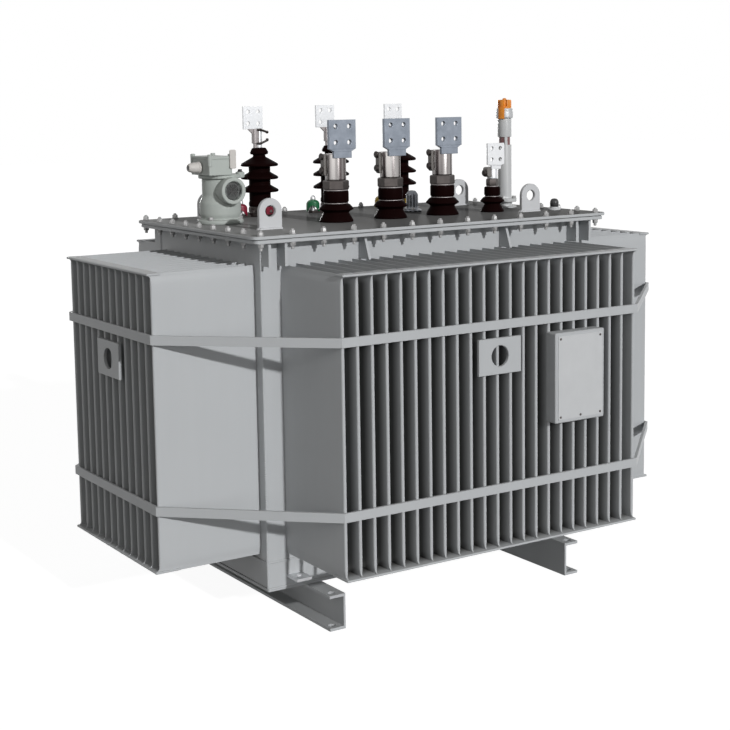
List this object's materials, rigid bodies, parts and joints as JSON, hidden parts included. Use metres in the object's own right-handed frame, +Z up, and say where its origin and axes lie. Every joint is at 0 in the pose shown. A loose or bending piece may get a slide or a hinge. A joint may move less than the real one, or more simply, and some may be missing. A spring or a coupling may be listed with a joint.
{
  "type": "power transformer",
  "caption": "Sealed oil-filled power transformer: finned rectangular tank on channel skids, tie bands, bolted cover with porcelain bushings, lifting lugs, protection relay and level tube.",
  "frame": {"origin": "on the floor at the middle of the four skid bolt holes, under the middle of the tank", "axes": "+X along the front to the right, +Y from the front to the back, +Z up"},
  "size_m": [1.752, 1.283, 1.437],
  "materials": {
    "tank_paint": "light grey semi-gloss paint",
    "fitting_paint": "light grey-green semi-gloss paint",
    "gasket": "matt black rubber",
    "porcelain": "dark brown glazed porcelain",
    "tinned_metal": "dull tinned metal",
    "plate_metal": "satin plate",
    "orange_plastic": "satin orange plastic",
    "red_plastic": "satin dark red plastic",
    "green_plastic": "satin green plastic",
    "yellow_plastic": "satin yellow plastic",
    "window_glass": "clear glass over a dark chamber",
    "black_plastic": "satin black plastic",
    "dark_metal": "dark glossy metal hood"
  },
  "bodies": {
    "root": {"skid_left": "tank_paint", "skid_right": "tank_paint", "tank_floor": "tank_paint", "front_wall": "tank_paint", "back_wall": "tank_paint", "left_wall": "tank_paint", "right_wall": "tank_paint", "front_fins": "tank_paint", "back_fins": "tank_paint", "left_fins": "tank_paint", "right_fins": "tank_paint", "rim_flange": "tank_paint", "rim_gussets": "tank_paint", "cover_gasket": "gasket", "tank_cover": "tank_paint", "upper_band": "tank_paint", "lower_band": "tank_paint", "lashing_plates": "tank_paint", "name_plate_bracket": "tank_paint", "rating_plate": "plate_metal", "earth_tabs": "tank_paint", "lifting_lugs": "tank_paint", "hv_clamps": "tinned_metal", "hv_bushing_left": "porcelain", "hv_bushing_middle": "porcelain", "hv_bushing_right": "porcelain", "hv_terminal_left": "tinned_metal", "hv_terminal_middle": "tinned_metal", "hv_terminal_right": "tinned_metal", "marker_cap_left": "red_plastic", "marker_cap_middle": "green_plastic", "marker_cap_right": "yellow_plastic", "lv_bushing_left": "porcelain", "lv_bushing_middle": "porcelain", "lv_bushing_right": "porcelain", "lv_terminal_left": "tinned_metal", "lv_terminal_middle": "tinned_metal", "lv_terminal_right": "tinned_metal", "neutral_bushing": "porcelain", "neutral_terminal": "tinned_metal", "level_tube": "fitting_paint", "level_cap": "orange_plastic", "relay_body": "fitting_paint", "relay_window": "window_glass", "relay_terminal_box": "fitting_paint", "thermometer_pocket": "black_plastic", "tap_changer": "dark_metal"}
  },
  "joints": []
}
